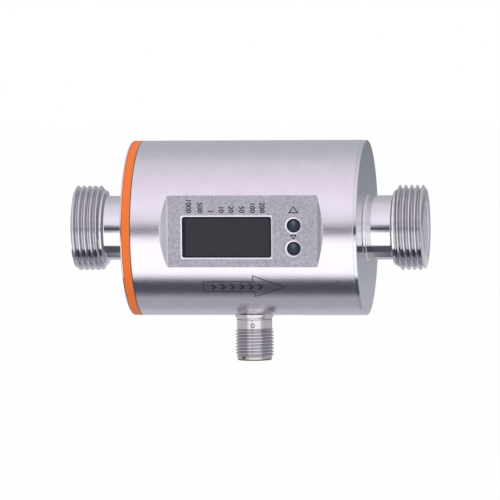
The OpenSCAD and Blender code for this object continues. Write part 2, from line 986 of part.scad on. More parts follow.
module set_button_seal() {
    button_seal_shape(button_zs[1]);
}

// Switch plunger that a button pushes
module plunger_shape(z) {
    color([0.85, 0.85, 0.87])
        front_rod(button_x, z, switch_front - plunger_sink,
            flange_back - switch_front + plunger_sink, plunger_r);
}

module mode_plunger() {
    plunger_shape(button_zs[0]);
}

module set_plunger() {
    plunger_shape(button_zs[1]);
}

// Case of a switch on the display board
module switch_shape(z) {
    color([0.55, 0.56, 0.58])
        translate([button_x, 0, z])
            difference() {
                upright(display_board_front, switch_t)
                    square([switch_w, switch_w], center = true);
                front_rod(0, 0, display_board_front - over, switch_t + 2 * over, plunger_r + fit);
            }
}

module mode_switch() {
    switch_shape(button_zs[0]);
}

module set_switch() {
    switch_shape(button_zs[1]);
}

// Plug shell: flange, body with a seal groove, cone, neck, thread and an open socket
module plug_shell() {
    body_r = plug_body_d / 2;
    groove_end = plug_flange_end + plug_seal_d + groove_slack;
    tip_start = plug_thread_start + plug_turns * plug_pitch;
    color([0.78, 0.77, 0.80])
        turned_down([
            [plug_shoulder_r, plug_top],
            [plug_flange_r, plug_top],
            [plug_flange_r, plug_flange_end - fit],
            [body_r + fit - plug_seal_d, plug_flange_end - fit],
            [body_r + fit - plug_seal_d, groove_end],
            [body_r, groove_end],
            [body_r, plug_cone_start],
            [plug_neck_d / 2 + fit, plug_cone_start + plug_cone_len],
            [plug_neck_d / 2, plug_cone_start + plug_cone_len + fit],
            [plug_neck_d / 2, plug_thread_start - plug_pitch * flank_share / 2],
            each thread_points(plug_thread_d / 2, plug_thread_depth, plug_pitch, plug_turns,
                plug_thread_start),
            [plug_tip_d / 2, tip_start],
            [plug_tip_d / 2, plug_reach - plug_tip_len],
            [plug_rim_d / 2, plug_reach],
            [plug_socket_d / 2, plug_reach],
            [plug_socket_d / 2, plug_top + plug_shoulder],
            [plug_shoulder_r, plug_top + plug_shoulder]
        ]);
}

// Insulating insert with a coding key and a hole for each pin
module plug_insert() {
    insert_r = plug_socket_d / 2 - fit;
    color([0.14, 0.14, 0.15])
        difference() {
            union() {
                turned_down([[0, insert_back], [insert_r, insert_back], [insert_r, insert_front],
                    [0, insert_front]]);
                intersection() {
                    turned_down([
                        [insert_r - key_rise, insert_back],
                        [insert_r, insert_back],
                        [insert_r, insert_front + key_len],
                        [insert_r - key_rise, insert_front + key_len]
                    ]);
                    translate([mid_x, 0, 0])
                        rotate([0, 0, 180 / pin_count])
                            translate([0, -key_w / 2, -plug_reach])
                                cube([plug_socket_d, key_w, plug_reach]);
                }
            }
            for (i = [0 : pin_count - 1])
                translate([mid_x, 0, 0])
                    rotate([0, 0, 360 * i / pin_count])
                        translate([pin_circle_d / 2, 0, -insert_front - over])
                            cylinder(h = insert_front - insert_back + 2 * over,
                                r = pin_d / 2 + seal_slack);
        }
}

// Contact pins with rounded tips
module plug_pins() {
    pin_r = pin_d / 2;
    color([0.82, 0.68, 0.36])
        for (i = [0 : pin_count - 1])
            translate([mid_x, 0, 0])
                rotate([0, 0, 360 * i / pin_count])
                    translate([pin_circle_d / 2, 0, 0])
                        rotate([180, 0, 0])
                            rotate_extrude($fn = section_facets)
                                polygon([
                                    [0, insert_back - pin_tail],
                                    [pin_r, insert_back - pin_tail],
                                    [pin_r, plug_reach - pin_sink - pin_tip],
                                    [pin_r - pin_tip, plug_reach - pin_sink],
                                    [0, plug_reach - pin_sink]
                                ]);
}

// Seal between the plug's body and the housing wall
module plug_seal() {
    section_r = plug_seal_d / 2;
    seal_at = plug_flange_end + (plug_seal_d + groove_slack) / 2;
    color([0.12, 0.12, 0.13])
        translate([mid_x, 0, -seal_at])
            rotate_extrude()
                translate([plug_body_d / 2 + fit - section_r, 0])
                    circle(section_r - seal_slack, $fn = section_facets);
}

housing_tube();
inlet_end_cap();
outlet_end_cap();
insulating_ring();
inlet_cap_seal();
outlet_cap_seal();
inlet_fitting();
outlet_fitting();
measuring_tube();
inlet_tube_seal();
outlet_tube_seal();
front_electrode();
rear_electrode();
front_electrode_seal();
rear_electrode_seal();
front_electrode_nut();
rear_electrode_nut();
temperature_probe();
upper_pole_piece();
lower_pole_piece();
upper_bobbin();
lower_bobbin();
upper_coil();
lower_coil();
magnet_yoke();
board_carrier();
main_board();
board_header();
display_board();
board_screws();
display_module();
window_gasket();
display_window();
mode_button();
set_button();
mode_button_seal();
set_button_seal();
mode_plunger();
set_plunger();
mode_switch();
set_switch();
plug_shell();
plug_insert();
plug_pins();
plug_seal();
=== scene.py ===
import json
import math

import bmesh
import bpy
from mathutils import Matrix, Vector


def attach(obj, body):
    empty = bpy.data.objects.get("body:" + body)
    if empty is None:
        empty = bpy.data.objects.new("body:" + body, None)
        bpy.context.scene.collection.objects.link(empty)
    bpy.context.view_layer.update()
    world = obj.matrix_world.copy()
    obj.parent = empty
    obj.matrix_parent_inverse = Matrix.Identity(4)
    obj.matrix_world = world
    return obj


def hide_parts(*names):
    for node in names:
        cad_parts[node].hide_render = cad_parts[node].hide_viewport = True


# Looks of an electromagnetic flow meter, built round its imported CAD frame.
# X runs along the flow, the display looks along -Y and the plug points along -Z.
# Lengths are in millimetres up to the last step of each mesh, which turns them into metres.

MM = 0.001
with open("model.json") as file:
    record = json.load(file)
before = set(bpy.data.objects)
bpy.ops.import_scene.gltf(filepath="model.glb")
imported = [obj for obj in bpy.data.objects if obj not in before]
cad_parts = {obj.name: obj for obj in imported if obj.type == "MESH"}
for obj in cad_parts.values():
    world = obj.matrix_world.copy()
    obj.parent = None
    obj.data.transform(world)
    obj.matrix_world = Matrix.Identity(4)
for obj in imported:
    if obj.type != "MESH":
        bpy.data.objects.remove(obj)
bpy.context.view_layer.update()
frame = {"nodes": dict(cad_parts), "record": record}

# Places of the real object, as in the CAD source
METER_LEN = 110.0
HOUSING_R = 27.25
HOUSING_START = 21.35
MID_X = 55.95
FLAT_FRONT = 24.865
PIPE_R, PIPE_PITCH, PIPE_DEPTH = 13.22, 1.814, 1.16
NECK_R, BORE_R = 10.0, 8.0
PLUG_R, PLUG_PITCH, PLUG_DEPTH = 6.0, 1.0, 0.6
PLUG_NECK_R, PLUG_REACH = 5.5, 41.26
DISPLAY_Z = -1.8
WINDOW_X, WINDOW_W, WINDOW_H = 51.11, 27.6, 12.5
BUTTON_X, BUTTON_PITCH, BUTTON_R = 71.93, 7.08, 2.0

# Colours that more than one finish has, and the share of its colour kept under painted shade
STEEL = (0.65, 0.63, 0.67)
BRIGHT_STEEL = (0.65, 0.64, 0.67)
SHADE_SHARE = 0.68


# ---- shader graphs ----

def add(tree, kind, inputs=None, **settings):
    """Adds a shader node, sets its properties, and sets or links its inputs."""
    made = tree.nodes.new(kind)
    for name, value in settings.items():
        setattr(made, name, value)
    for socket, value in (inputs or {}).items():
        if isinstance(value, bpy.types.NodeSocket):
            tree.links.new(value, made.inputs[socket])
        else:
            made.inputs[socket].default_value = value
    return made


def calc(tree, operation, *values):
    """Result of a math node."""
    return add(tree, "ShaderNodeMath", dict(enumerate(values)), operation=operation).outputs[0]


def parts_of(tree, vector):
    """The x, y and z of a vector."""
    return add(tree, "ShaderNodeSeparateXYZ", {0: vector}).outputs


def length_of(tree, a, b):
    """Length of a vector from its two parts."""
    return calc(tree, "SQRT", calc(tree, "ADD", calc(tree, "POWER", a, 2.0),
                                   calc(tree, "POWER", b, 2.0)))


def away_from(tree, value, centre):
    """Distance of a value from a centre, on either side."""
    return calc(tree, "ABSOLUTE", calc(tree, "SUBTRACT", value, centre))


def ramp(tree, share, stops):
    """Colour of a ramp at a share; the stops are pairs of place and colour."""
    made = add(tree, "ShaderNodeValToRGB", {0: share})
    bar = made.color_ramp
    while len(bar.elements) < len(stops):
        bar.elements.new(0.5)
    for element, (place, colour) in zip(bar.elements, stops):
        element.position = place
        element.color = (*colour, 1)
    return made.outputs[0]


def noise(tree, vector, scale, detail=2.0, roughness=0.5):
    """Noise from 0 to 1; the scale is in steps per unit of the vector."""
    made = add(tree, "ShaderNodeTexNoise", {
        "Vector": vector, "Scale": scale, "Detail": detail, "Roughness": roughness})
    return made.outputs["Fac"]


def spread(tree, share, low, high):
    """Turns a share from 0 to 1 into a value from low to high."""
    return add(tree, "ShaderNodeMapRange", {
        "Value": share, "To Min": low, "To Max": high}).outputs[0]


def edge(tree, value, start, end):
    """Share that goes from 0 where a value is at start to 1 where it is at end."""
    return add(tree, "ShaderNodeMapRange", {
        "Value": value, "From Min": start, "From Max": end}).outputs[0]


def within(tree, value, start, full, fade, end):
    """Share that rises from 0 at start to 1 at full, and falls from 1 at fade to 0 at end."""
    return calc(tree, "MULTIPLY", edge(tree, value, start, full), edge(tree, value, end, fade))


def blend(tree, share, first, second):
    """Mix of two colours, of which each may also be a socket."""
    pair = [c if isinstance(c, bpy.types.NodeSocket) else (*c, 1) for c in (first, second)]
    return add(tree, "ShaderNodeMix", {0: share, 6: pair[0], 7: pair[1]},
               data_type="RGBA").outputs[2]


def tinted(tree, share, colour, amount):
    """A colour that varies by an amount with a share from 0 to 1."""
    dark = tuple(c * (1 - amount) for c in colour)
    pale = tuple(min(1, c * (1 + amount)) for c in colour)
    return ramp(tree, share, [(0.25, dark), (0.75, pale)])


def place_mm(tree):
    """Place on the object in millimetres."""
    where = add(tree, "ShaderNodeTexCoord").outputs["Object"]
    return add(tree, "ShaderNodeVectorMath", {0: where, "Scale": 1 / MM},
               operation="SCALE").outputs[0]


def turned_place(tree, along, centre):
    """Place along a turning axis and distance from it, so that a pattern runs in rings."""
    parts = parts_of(tree, place_mm(tree))
    shifted = [calc(tree, "SUBTRACT", part, c) for part, c in zip(parts, centre)]
    radius = length_of(tree, *(s for i, s in enumerate(shifted) if i != along))
    return add(tree, "ShaderNodeCombineXYZ", {0: shifted[along], 1: radius}).outputs[0]


def material(name, **fixed):
    """A new material with one Principled shader; uniform values go on its own sockets."""
    made = bpy.data.materials.new(name)
    made.use_nodes = True
    tree = made.node_tree
    tree.nodes.clear()
    shader = add(tree, "ShaderNodeBsdfPrincipled", {
        socket.replace("_", " "): value for socket, value in fixed.items()})
    output = add(tree, "ShaderNodeOutputMaterial")
    tree.links.new(shader.outputs[0], output.inputs["Surface"])
    return made, tree, shader


def raise_surface(tree, shader, share, depth_mm, normal=None):
    """Lets a pattern stand up from the surface, or from a given normal, by a depth."""
    bump = add(tree, "ShaderNodeBump", {"Height": share, "Distance": depth_mm * MM})
    if normal:
        tree.links.new(normal, bump.inputs["Normal"])
    tree.links.new(bump.outputs[0], shader.inputs["Normal"])


def grain_and_shade(tree, shader, share, colour, vary, roughness, swing, depth_mm, painted_shade=None):
    """Lets a pattern vary a shader's colour, roughness and surface height. The colour is
    darker, as painted shade, where the painted-shade share is 1."""
    shade = tinted(tree, share, colour, vary)
    # Painted shade: the colour goes darker where the painted-shade share is 1
    if painted_shade:
        shade = blend(tree, painted_shade, shade, tuple(SHADE_SHARE * c for c in colour))
    tree.links.new(shade, shader.inputs["Base Color"])
    tree.links.new(spread(tree, share, roughness - swing, roughness + swing),
                   shader.inputs["Roughness"])
    raise_surface(tree, shader, share, depth_mm)


def grained(name, colour, metallic, roughness, scale, depth_mm, vary=0.08, swing=0.06, **fixed):
    """Surface with an even grain, such as moulded plastic or a plain metal."""
    made, tree, shader = material(name, Metallic=metallic, **fixed)
    grain = noise(tree, place_mm(tree), scale, 3.0, 0.6)
    grain_and_shade(tree, shader, grain, colour, vary, roughness, swing, depth_mm)
    return made


def turned(name, colour, roughness, along, centre, scale=9.0, depth_mm=0.001, vary=0.05,
           swing=0.03, groove=None, shaded_end=False, **fixed):
    """Turned metal with fine rings round its axis. A thread's groove, given by the radius
    where it starts and the radius of its root, gets painted shade that darkens towards the
    root. With the end-face flag set, the flat face that looks along the axis gets painted
    shade. Anisotropic metal blurs what it mirrors along the axis, and keeps it sharp round it."""
    made, tree, shader = material(name, **{"Metallic": 1.0, **fixed})
    place = turned_place(tree, along, centre)
    rings = noise(tree, place, scale, 4.0, 0.65)
    painted_shade = None
    # Painted shade in a thread's groove, darker towards its root
    if groove:
        radius = parts_of(tree, place)[1]
        painted_shade = edge(tree, radius, *groove)
    # Painted shade on the flat end face that looks along the axis
    if shaded_end:
        facing = add(tree, "ShaderNodeTexCoord").outputs["Normal"]
        painted_shade = edge(tree, parts_of(tree, facing)[along], 0.90, 0.98)
    if "Anisotropic" in fixed:
        round_axis = add(tree, "ShaderNodeTangent", direction_type="RADIAL", axis="XYZ"[along])
        tree.links.new(round_axis.outputs[0], shader.inputs["Tangent"])
    grain_and_shade(tree, shader, rings, colour, vary, roughness, swing, depth_mm, painted_shade)
    return made


def window_distance(tree, x, z):
    """Distance from the window's edge, below zero inside it."""
    return calc(tree, "MAXIMUM",
                calc(tree, "SUBTRACT", away_from(tree, x, WINDOW_X), WINDOW_W / 2),
                calc(tree, "SUBTRACT", away_from(tree, z, DISPLAY_Z), WINDOW_H / 2))


def button_distance(tree, x, z):
    """Distance from the nearer button's rim, below zero inside it."""
    across = calc(tree, "SUBTRACT", x, BUTTON_X)
    upward = calc(tree, "SUBTRACT", away_from(tree, z, DISPLAY_Z), BUTTON_PITCH / 2)
    return calc(tree, "SUBTRACT", length_of(tree, across, upward), BUTTON_R)


def to_world(tree, direction):
    """A direction on the object as a unit normal for a shader."""
    turned_out = add(tree, "ShaderNodeVectorTransform", {0: direction}, vector_type="NORMAL",
                     convert_from="OBJECT", convert_to="WORLD").outputs[0]
    return add(tree, "ShaderNodeVectorMath", {0: turned_out}, operation="NORMALIZE").outputs[0]


def mixed_normal(tree, share, first, second):
    """A normal between two normals."""
    return add(tree, "ShaderNodeMix", {0: share, 4: first, 5: second},
               data_type="VECTOR").outputs[1]


def round_normal(tree, y, z, deep):
    """The tube's own normal, free of the mesh's facets, where a point isn't deep in it."""
    out = add(tree, "ShaderNodeCombineXYZ", {1: y, 2: z}).outputs[0]
    given = add(tree, "ShaderNodeNewGeometry").outputs["Normal"]
    return mixed_normal(tree, edge(tree, deep, 0.05, 0.02), given, to_world(tree, out))


def housing_finish():
    """Blasted steel with a milled, speckled flat. The flat and its flanks are rougher than the
    tube, and the flanks have a pale colour as painted light. The rounded bevels at the window
    and the buttons have a painted highlight, brighter than the flat, and the edge beside the
    orange ring has painted shade where the gap to the ring is in shadow."""
    made, tree, shader = material("blasted_steel", Metallic=1.0)
    where = place_mm(tree)
    x, y, z = parts_of(tree, where)
    fine = noise(tree, where, 2.8, 2.0, 0.8)
    grit = noise(tree, where, 1.3, 3.0, 0.8)
    cloud = noise(tree, where, 0.22, 3.0, 0.5)

    # Where a point is: off the tube's round surface, on the flat, on a bevel or by the ring
    deep = away_from(tree, length_of(tree, y, z), HOUSING_R)
    cut = calc(tree, "MULTIPLY", edge(tree, deep, 0.02, 0.06), edge(tree, y, -21.0, -22.0))
    flat = calc(tree, "MULTIPLY", cut, edge(tree, away_from(tree, y, -FLAT_FRONT), 0.06, 0.03))
    # The bevels get a painted highlight: a brighter colour, with a normal half turned to the
    # front
    near = calc(tree, "MAXIMUM", edge(tree, window_distance(tree, x, z), 0.55, 0.40),
                edge(tree, button_distance(tree, x, z), 0.60, 0.48))
    bevel = calc(tree, "MULTIPLY", near, edge(tree, y, -24.2, -24.4))
    # Painted shade along the edge beside the orange ring, where the gap to the tube is in shadow
    joint_shade = edge(tree, x, HOUSING_START + 0.30, HOUSING_START + 0.15)

    tube = tinted(tree, cloud, STEEL, 0.03)
    # flank is pale painted light on the flanks, shadow the painted shade by the ring, bright the
    # bevels' painted highlight
    flank, shadow, bright = (0.84, 0.82, 0.87), (0.10, 0.09, 0.10), (0.80, 0.79, 0.82)
    milled = tinted(tree, grit, (0.445, 0.435, 0.485), 0.36)
    colour = blend(tree, flat, blend(tree, cut, tube, flank), milled)
    colour = blend(tree, bevel, blend(tree, joint_shade, colour, shadow), bright)
    tree.links.new(colour, shader.inputs["Base Color"])
    rough = calc(tree, "ADD", spread(tree, cloud, 0.11, 0.15), calc(tree, "MULTIPLY", cut, 0.18))
    tree.links.new(rough, shader.inputs["Roughness"])
    front = add(tree, "ShaderNodeCombineXYZ", {1: -1.0}).outputs[0]
    rounded = mixed_normal(tree, calc(tree, "MULTIPLY", bevel, 0.5),
                           round_normal(tree, y, z, deep), to_world(tree, front))
    raise_surface(tree, shader, fine, 0.031, rounded)
    return made


def window_finish():
    """Dark window, whose printed border on the inside is darker than the display behind it."""
    made, tree, shader = material("dark_window", Metallic=0.0, Coat_Weight=0.6,
                                  Coat_Roughness=0.05)
    where = place_mm(tree)
    x, _, z = parts_of(tree, where)
    inside = edge(tree, window_distance(tree, x, z), -0.35, -0.65)
    left_end = WINDOW_X - WINDOW_W / 2
    left = edge(tree, x, left_end + 0.9, left_end + 1.2)
    speck = noise(tree, where, 1.2, 2.0, 0.5)
    display = tinted(tree, speck, (0.044, 0.043, 0.050), 0.06)
    shown = calc(tree, "MINIMUM", inside, left)
    tree.links.new(blend(tree, shown, (0.014, 0.019, 0.027), display),
                   shader.inputs["Base Color"])
    tree.links.new(spread(tree, speck, 0.08, 0.12), shader.inputs["Roughness"])
    raise_surface(tree, shader, noise(tree, where, 0.2, 1.0), 0.0008)
    return made


def button_finish():
    """Dark blue-grey buttons with painted light: a dark rim, a paler middle, and a painted
    glint a little above the middle.
    """
    made, tree, shader = material("button_moulding", Specular_IOR_Level=0.25)
    where = place_mm(tree)
    x, _, z = parts_of(tree, where)
    # Painted light: the middle paler than the rim
    middle = edge(tree, button_distance(tree, x, z), -0.3, -1.7)
    speck = noise(tree, where, 1.6, 3.0, 0.7)
    share = calc(tree, "MULTIPLY", middle, spread(tree, speck, 0.4, 1.3))
    blue = blend(tree, share, (0.006, 0.012, 0.023), (0.036, 0.056, 0.092))
    # Painted glint, centred 0.9 mm above each button's middle
    above = button_distance(tree, x, calc(tree, "SUBTRACT", z, 0.9))
    painted_glint = edge(tree, above, -1.0, -1.9)
    tree.links.new(blend(tree, painted_glint, blue, (0.120, 0.150, 0.195)), shader.inputs["Base Color"])
    tree.links.new(spread(tree, speck, 0.30, 0.42), shader.inputs["Roughness"])
    raise_surface(tree, shader, speck, 0.010)
    return made


finishes = {
    "housing_steel": housing_finish(),
    # The caps' end faces get painted shade
    "cap_steel": turned("turned_cap_steel", (0.59, 0.61, 0.64), 0.09, 0, (0, 0, 0),
                        shaded_end=True),
    "fitting_steel": turned("bright_turned_steel", BRIGHT_STEEL, 0.06, 0, (0, 0, 0),
                            depth_mm=0.0003),
    # The plug's thread groove gets painted shade, darker towards the root
    "plug_steel": turned("bright_plug_steel", (0.64, 0.62, 0.65), 0.14, 2, (MID_X, 0, 0),
                         groove=(5.85, 5.45)),
    "orange_plastic": grained("orange_moulding", (0.96, 0.205, 0.030), 0.0, 0.50, 3.0, 0.006,
                              0.05, Specular_IOR_Level=0.3),
    "window_glass": window_finish(),
    "button_plastic": button_finish(),
    "seal_rubber": grained("black_rubber", (0.020, 0.020, 0.021), 0.0, 0.70, 6.0, 0.006),
    "liner_plastic": grained("beige_plastic", (0.60, 0.50, 0.33), 0.0, 0.45, 2.0, 0.006),
    "electrode_steel": grained("plain_steel", (0.60, 0.60, 0.62), 1.0, 0.25, 8.0, 0.003),
    "nut_brass": grained("plain_brass", (0.72, 0.55, 0.25), 1.0, 0.28, 8.0, 0.003),
    "magnet_iron": grained("soft_iron", (0.25, 0.25, 0.27), 1.0, 0.45, 4.0, 0.006),
    "bobbin_plastic": grained("black_bobbin", (0.03, 0.03, 0.04), 0.0, 0.45, 4.0, 0.004),
    "coil_wire": turned("copper_winding", (0.60, 0.25, 0.10), 0.30, 2, (MID_X, 0, 0), 4.0, 0.04),
    "carrier_plastic": grained("dark_carrier", (0.06, 0.07, 0.08), 0.0, 0.50, 3.0, 0.006),
    "board_green": grained("green_board", (0.02, 0.12, 0.05), 0.0, 0.30, 0.8, 0.010, 0.20),
    "black_plastic": grained("black_moulding", (0.020, 0.020, 0.020), 0.0, 0.40, 4.0, 0.004),
    "switch_parts": grained("switch_moulding", (0.30, 0.30, 0.32), 0.0, 0.40, 4.0, 0.003),
    "pin_gold": grained("gold_pins", (0.80, 0.62, 0.25), 1.0, 0.20, 8.0, 0.002),
}
bore_finish = turned("pale_bore", (0.78, 0.77, 0.81), 0.50, 0, (0, 0, 0), 3.0, 0.004, 0.05,
                     0.05, Metallic=0.4)
# The pipe thread's groove gets painted shade, darker towards the root
pipe_thread = turned("cut_pipe_thread", BRIGHT_STEEL, 0.06, 0, (0, 0, 0),
                     groove=(12.85, 12.05))
satin_plug = turned("satin_plug_steel", (0.70, 0.67, 0.69), 0.30, 2, (MID_X, 0, 0),
                    Anisotropic=0.85, Anisotropic_Rotation=0.25)
pale_tip = turned("pale_tip", (0.50, 0.48, 0.43), 0.28, 2, (MID_X, 0, 0))
# Near black: painted shade in the plug's fine grooves, and the dark lower edge of its tip
dark_groove = grained("dark_groove", (0.055, 0.045, 0.045), 0.0, 0.60, 6.0, 0.002)
ink = grained("dark_print", (0.022, 0.022, 0.030), 0.0, 0.70, 4.0, 0.002, 0.15,
              Specular_IOR_Level=0.15)
for part in frame["record"]["subparts"]:
    mesh = frame["nodes"][part["node"]].data
    mesh.materials.clear()
    mesh.materials.append(finishes[part["material_slot"]])


# ---- turned pieces with real screw threads ----

def mesh_object(name, points, faces, finish, others=(), pick=None, angle=35):
    """A shaded mesh that rides on the meter; its points are in millimetres. A pick function
    tells from a face's centre which of the finishes it has."""
    mesh = bpy.data.meshes.new(name)
    mesh.from_pydata([Vector(p) * MM for p in points], [], faces)
    work = bmesh.new()
    work.from_mesh(mesh)
    bmesh.ops.remove_doubles(work, verts=work.verts, dist=0.0005 * MM)
    bmesh.ops.dissolve_degenerate(work, edges=work.edges, dist=0.0005 * MM)
    bmesh.ops.recalc_face_normals(work, faces=work.faces)
    work.to_mesh(mesh)
    work.free()
    for each in (finish, *others):
        mesh.materials.append(each)
    if pick:
        for face in mesh.polygons:
            face.material_index = pick(face.center / MM)
    mesh.shade_smooth()
    mesh.set_sharp_from_angle(angle=math.radians(angle))
    made = bpy.data.objects.new(name, mesh)
    bpy.context.scene.collection.objects.link(made)
    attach(made, "meter_body")
    return made


def lathe(rows, origin, axis, start, columns=160):
    """Points and faces of a closed turned form. A row is (place, radius), or a function of
    the angle that gives them, and the angle turns from start round the axis."""
    side = axis.cross(start)
    points, faces = [], []
    for column in range(columns + 1):
        angle = 2 * math.pi * column / columns
        out = start * math.cos(angle) + side * math.sin(angle)
        for row in rows:
            place, radius = row(angle) if callable(row) else row
            points.append(origin + axis * place + out * radius)
    count = len(rows)
    for column in range(columns):
        for i in range(count):
            a, b = column * count + i, column * count + (i + 1) % count
            faces.append((a, b, b + count, a + count))
    return points, faces


# One turn of a thread: distance from the crest as a share of the pitch, height as a share
THREAD = [(0.00, 1.00), (0.05, 1.00), (0.09, 0.97), (0.13, 0.88), (0.37, 0.12), (0.41, 0.03),
          (0.45, 0.00), (0.50, 0.00)]


def thread_height(away):
    """Height share of the thread at a distance from the crest."""
    for (a, low), (b, high) in zip(THREAD, THREAD[1:]):
        if away <= b:
            return low + (high - low) * (away - a) / (b - a)
    return 0.0


def thread_rows(crest, pitch, turns, first, last, radius, depth, limit):
    """Rows of a right-hand screw thread between two places, cut by a limit on its radius."""
    steps = [-away for away, _ in reversed(THREAD)] + [away for away, _ in THREAD[1:-1]]

    def row(shift):
        def at(angle):
            lead = crest + pitch * angle / (2 * math.pi)
            place = min(max(lead + shift * pitch, first), last)
            away = abs((place - lead) / pitch - round((place - lead) / pitch))
            form = radius - depth * (1 - thread_height(away))
            return place, min(form, limit(place))
        return at

    return [row(turn + step) for turn in range(-1, turns + 1) for step in steps]


# Where a pipe thread runs out, from the sealing face, and the radius there
RUN_OUT, RUN_OUT_R = 8.9, 11.7


def pipe_limit(place):
    """Largest radius of a pipe thread: a chamfer at the face and one before the run-out."""
    return min(PIPE_R, 12.42 + 2.3 * place, RUN_OUT_R + 2.6 * max(0, RUN_OUT - place))


def pipe_part(centre):
    """1 for a fitting's bore, 2 for its thread and 0 for the rest."""
    radius = math.hypot(centre.y, centre.z)
    inward = min(centre.x, METER_LEN - centre.x)
    if radius < BORE_R + 0.26:
        return 1
    return 2 if radius > RUN_OUT_R + 0.15 and 0.35 < inward < RUN_OUT - 0.05 else 0


def pipe_fitting(name, node, origin, axis, crest):
    """A fitting from its sealing face inwards: the bore, the thread, whose crest at the top
    has a given place, the run-out, the neck, the weld bead at the cap, and the inner end with
    a seal's groove."""
    rows = [(30.45, BORE_R), (0.25, BORE_R), (0.0, BORE_R + 0.25)]
    rows += thread_rows(crest, PIPE_PITCH, 6, 0.0, RUN_OUT, PIPE_R, PIPE_DEPTH, pipe_limit)
    rows += [
        (RUN_OUT, 11.66), (9.0, RUN_OUT_R), (9.45, RUN_OUT_R), (9.55, 11.62), (9.75, 11.2),
        (9.85, 10.35), (9.95, 10.1), (10.15, NECK_R), (10.25, NECK_R), (17.55, NECK_R),
        (17.65, NECK_R), (17.75, 10.06), (17.9, 10.26), (18.05, 10.34), (18.3, 10.35),
        (18.32, NECK_R), (26.55, NECK_R), (26.55, 8.75), (28.25, 8.75), (28.25, NECK_R),
        (30.25, NECK_R), (30.45, NECK_R - 0.2),
    ]
    points, faces = lathe(rows, Vector(origin), Vector(axis), Vector((0, 0, 1)))
    made = mesh_object(name, points, faces, finishes["fitting_steel"],
                       [bore_finish, pipe_thread], pipe_part)
    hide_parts(node)


pipe_fitting("inlet_thread_end", "inlet_fitting", (0, 0, 0), (1, 0, 0), 0.45)
pipe_fitting("outlet_thread_end", "outlet_fitting", (METER_LEN, 0, 0), (-1, 0, 0), 0.80)


# How far the plug's two fine grooves, its thread and its rim are below the flow axis
PLUG_GROOVES = ((26.64, 26.92), (28.44, 28.62))
PLUG_PLAIN_END, PLUG_THREAD_TOP, PLUG_THREAD_END = 31.25, 31.3, 40.1
PLUG_TIP_R, PLUG_RIM = 5.45, 40.95


def plug_limit(place):
    """Largest radius of the plug's thread: it rises from the neck and falls to the tip."""
    return min(PLUG_R, PLUG_NECK_R + 1.2 * max(0, place - 31.5),
               PLUG_TIP_R + 1.2 * max(0, PLUG_THREAD_END - place))


def plug_part(centre):
    """0 for the plug's thread, 1 for what is above it, 2 for the tip, and 3 for the two fine
    grooves above the thread, which get painted shade, and the tip's dark lower edge."""
    place = -centre.z
    if place > PLUG_RIM or any(top < place < end for top, end in PLUG_GROOVES):
        return 3
    return 1 if place < PLUG_PLAIN_END else 2 if place > PLUG_THREAD_END else 0


def plug_body():
    """The plug's shell: its seat in the housing, the neck, the thread, the tip and the hollow
    for its insert."""
    (first, first_end), (second, second_end) = PLUG_GROOVES
    rows = [(22.45, 3.9), (22.45, 7.6), (24.4, 7.6), (24.4, 5.3), (25.7, 5.3), (25.7, 6.1),
            (first, 6.1), (first + 0.04, 5.9), (first_end - 0.04, 5.9), (first_end, 6.1),
            (27.3, 6.1), (27.45, 6.06), (28.2, 5.6), (28.35, PLUG_NECK_R),
            (second, PLUG_NECK_R), (second + 0.04, 5.36), (second_end - 0.04, 5.36),
            (second_end, PLUG_NECK_R), (28.72, PLUG_NECK_R), (31.1, PLUG_NECK_R),
            (31.2, PLUG_NECK_R)]
    rows += thread_rows(31.22, PLUG_PITCH, 9, PLUG_THREAD_TOP, PLUG_THREAD_END, PLUG_R,
                        PLUG_DEPTH, plug_limit)
    rows += [(PLUG_THREAD_END, PLUG_TIP_R), (40.46, PLUG_TIP_R), (40.7, 5.40), (40.9, 5.35),
             (PLUG_REACH, 5.20), (PLUG_REACH, 4.55), (41.16, 4.45), (23.45, 4.45),
             (23.45, 3.9)]
    points, faces = lathe(rows, Vector((MID_X, 0, 0)), Vector((0, 0, -1)), Vector((-1, 0, 0)),
                          128)
    made = mesh_object("plug_body", points, faces, finishes["plug_steel"],
                       [satin_plug, pale_tip, dark_groove], plug_part)
    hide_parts("plug_shell")


plug_body()


# ---- printed and punched marks, as thin closed plates ----

PRINT_RISE, PRINT_SINK = 0.015, 0.03


def on_flat(x, z, rise):
    """A point on the flat."""
    return x, -FLAT_FRONT - rise, z


def on_tube(x, arc, rise):
    """A point on the tube; the arc runs upwards from the front."""
    angle = arc / HOUSING_R
    radius = HOUSING_R + rise
    return x, -radius * math.cos(angle), radius * math.sin(angle)


def on_plug(radius):
    """Gives the function for points on the plug; the arc runs to the right from the front."""
    def wrap(arc, z, rise):
        angle = arc / radius
        return (MID_X + (radius + rise) * math.sin(angle), -(radius + rise) * math.cos(angle), z)
    return wrap


def divided(line, parts):
    """A line of points with each of its stretches cut into equal parts."""
    cut = [(a[0] + (b[0] - a[0]) * i / parts, a[1] + (b[1] - a[1]) * i / parts)
           for a, b in zip(line, line[1:]) for i in range(parts)]
    return cut + [line[-1]]


def inset(outline, width):
    """A closed outline, listed anticlockwise, moved inwards by a width."""
    moved = []
    for before, here, after in zip(outline[-1:] + outline, outline, outline[1:] + outline[:1]):
        a = (Vector(here) - Vector(before)).normalized()
        b = (Vector(after) - Vector(here)).normalized()
        inward = Vector((-a.y - b.y, a.x + b.x))
        moved.append(tuple(Vector(here) + inward * width / (1 + a.dot(b))))
    return moved


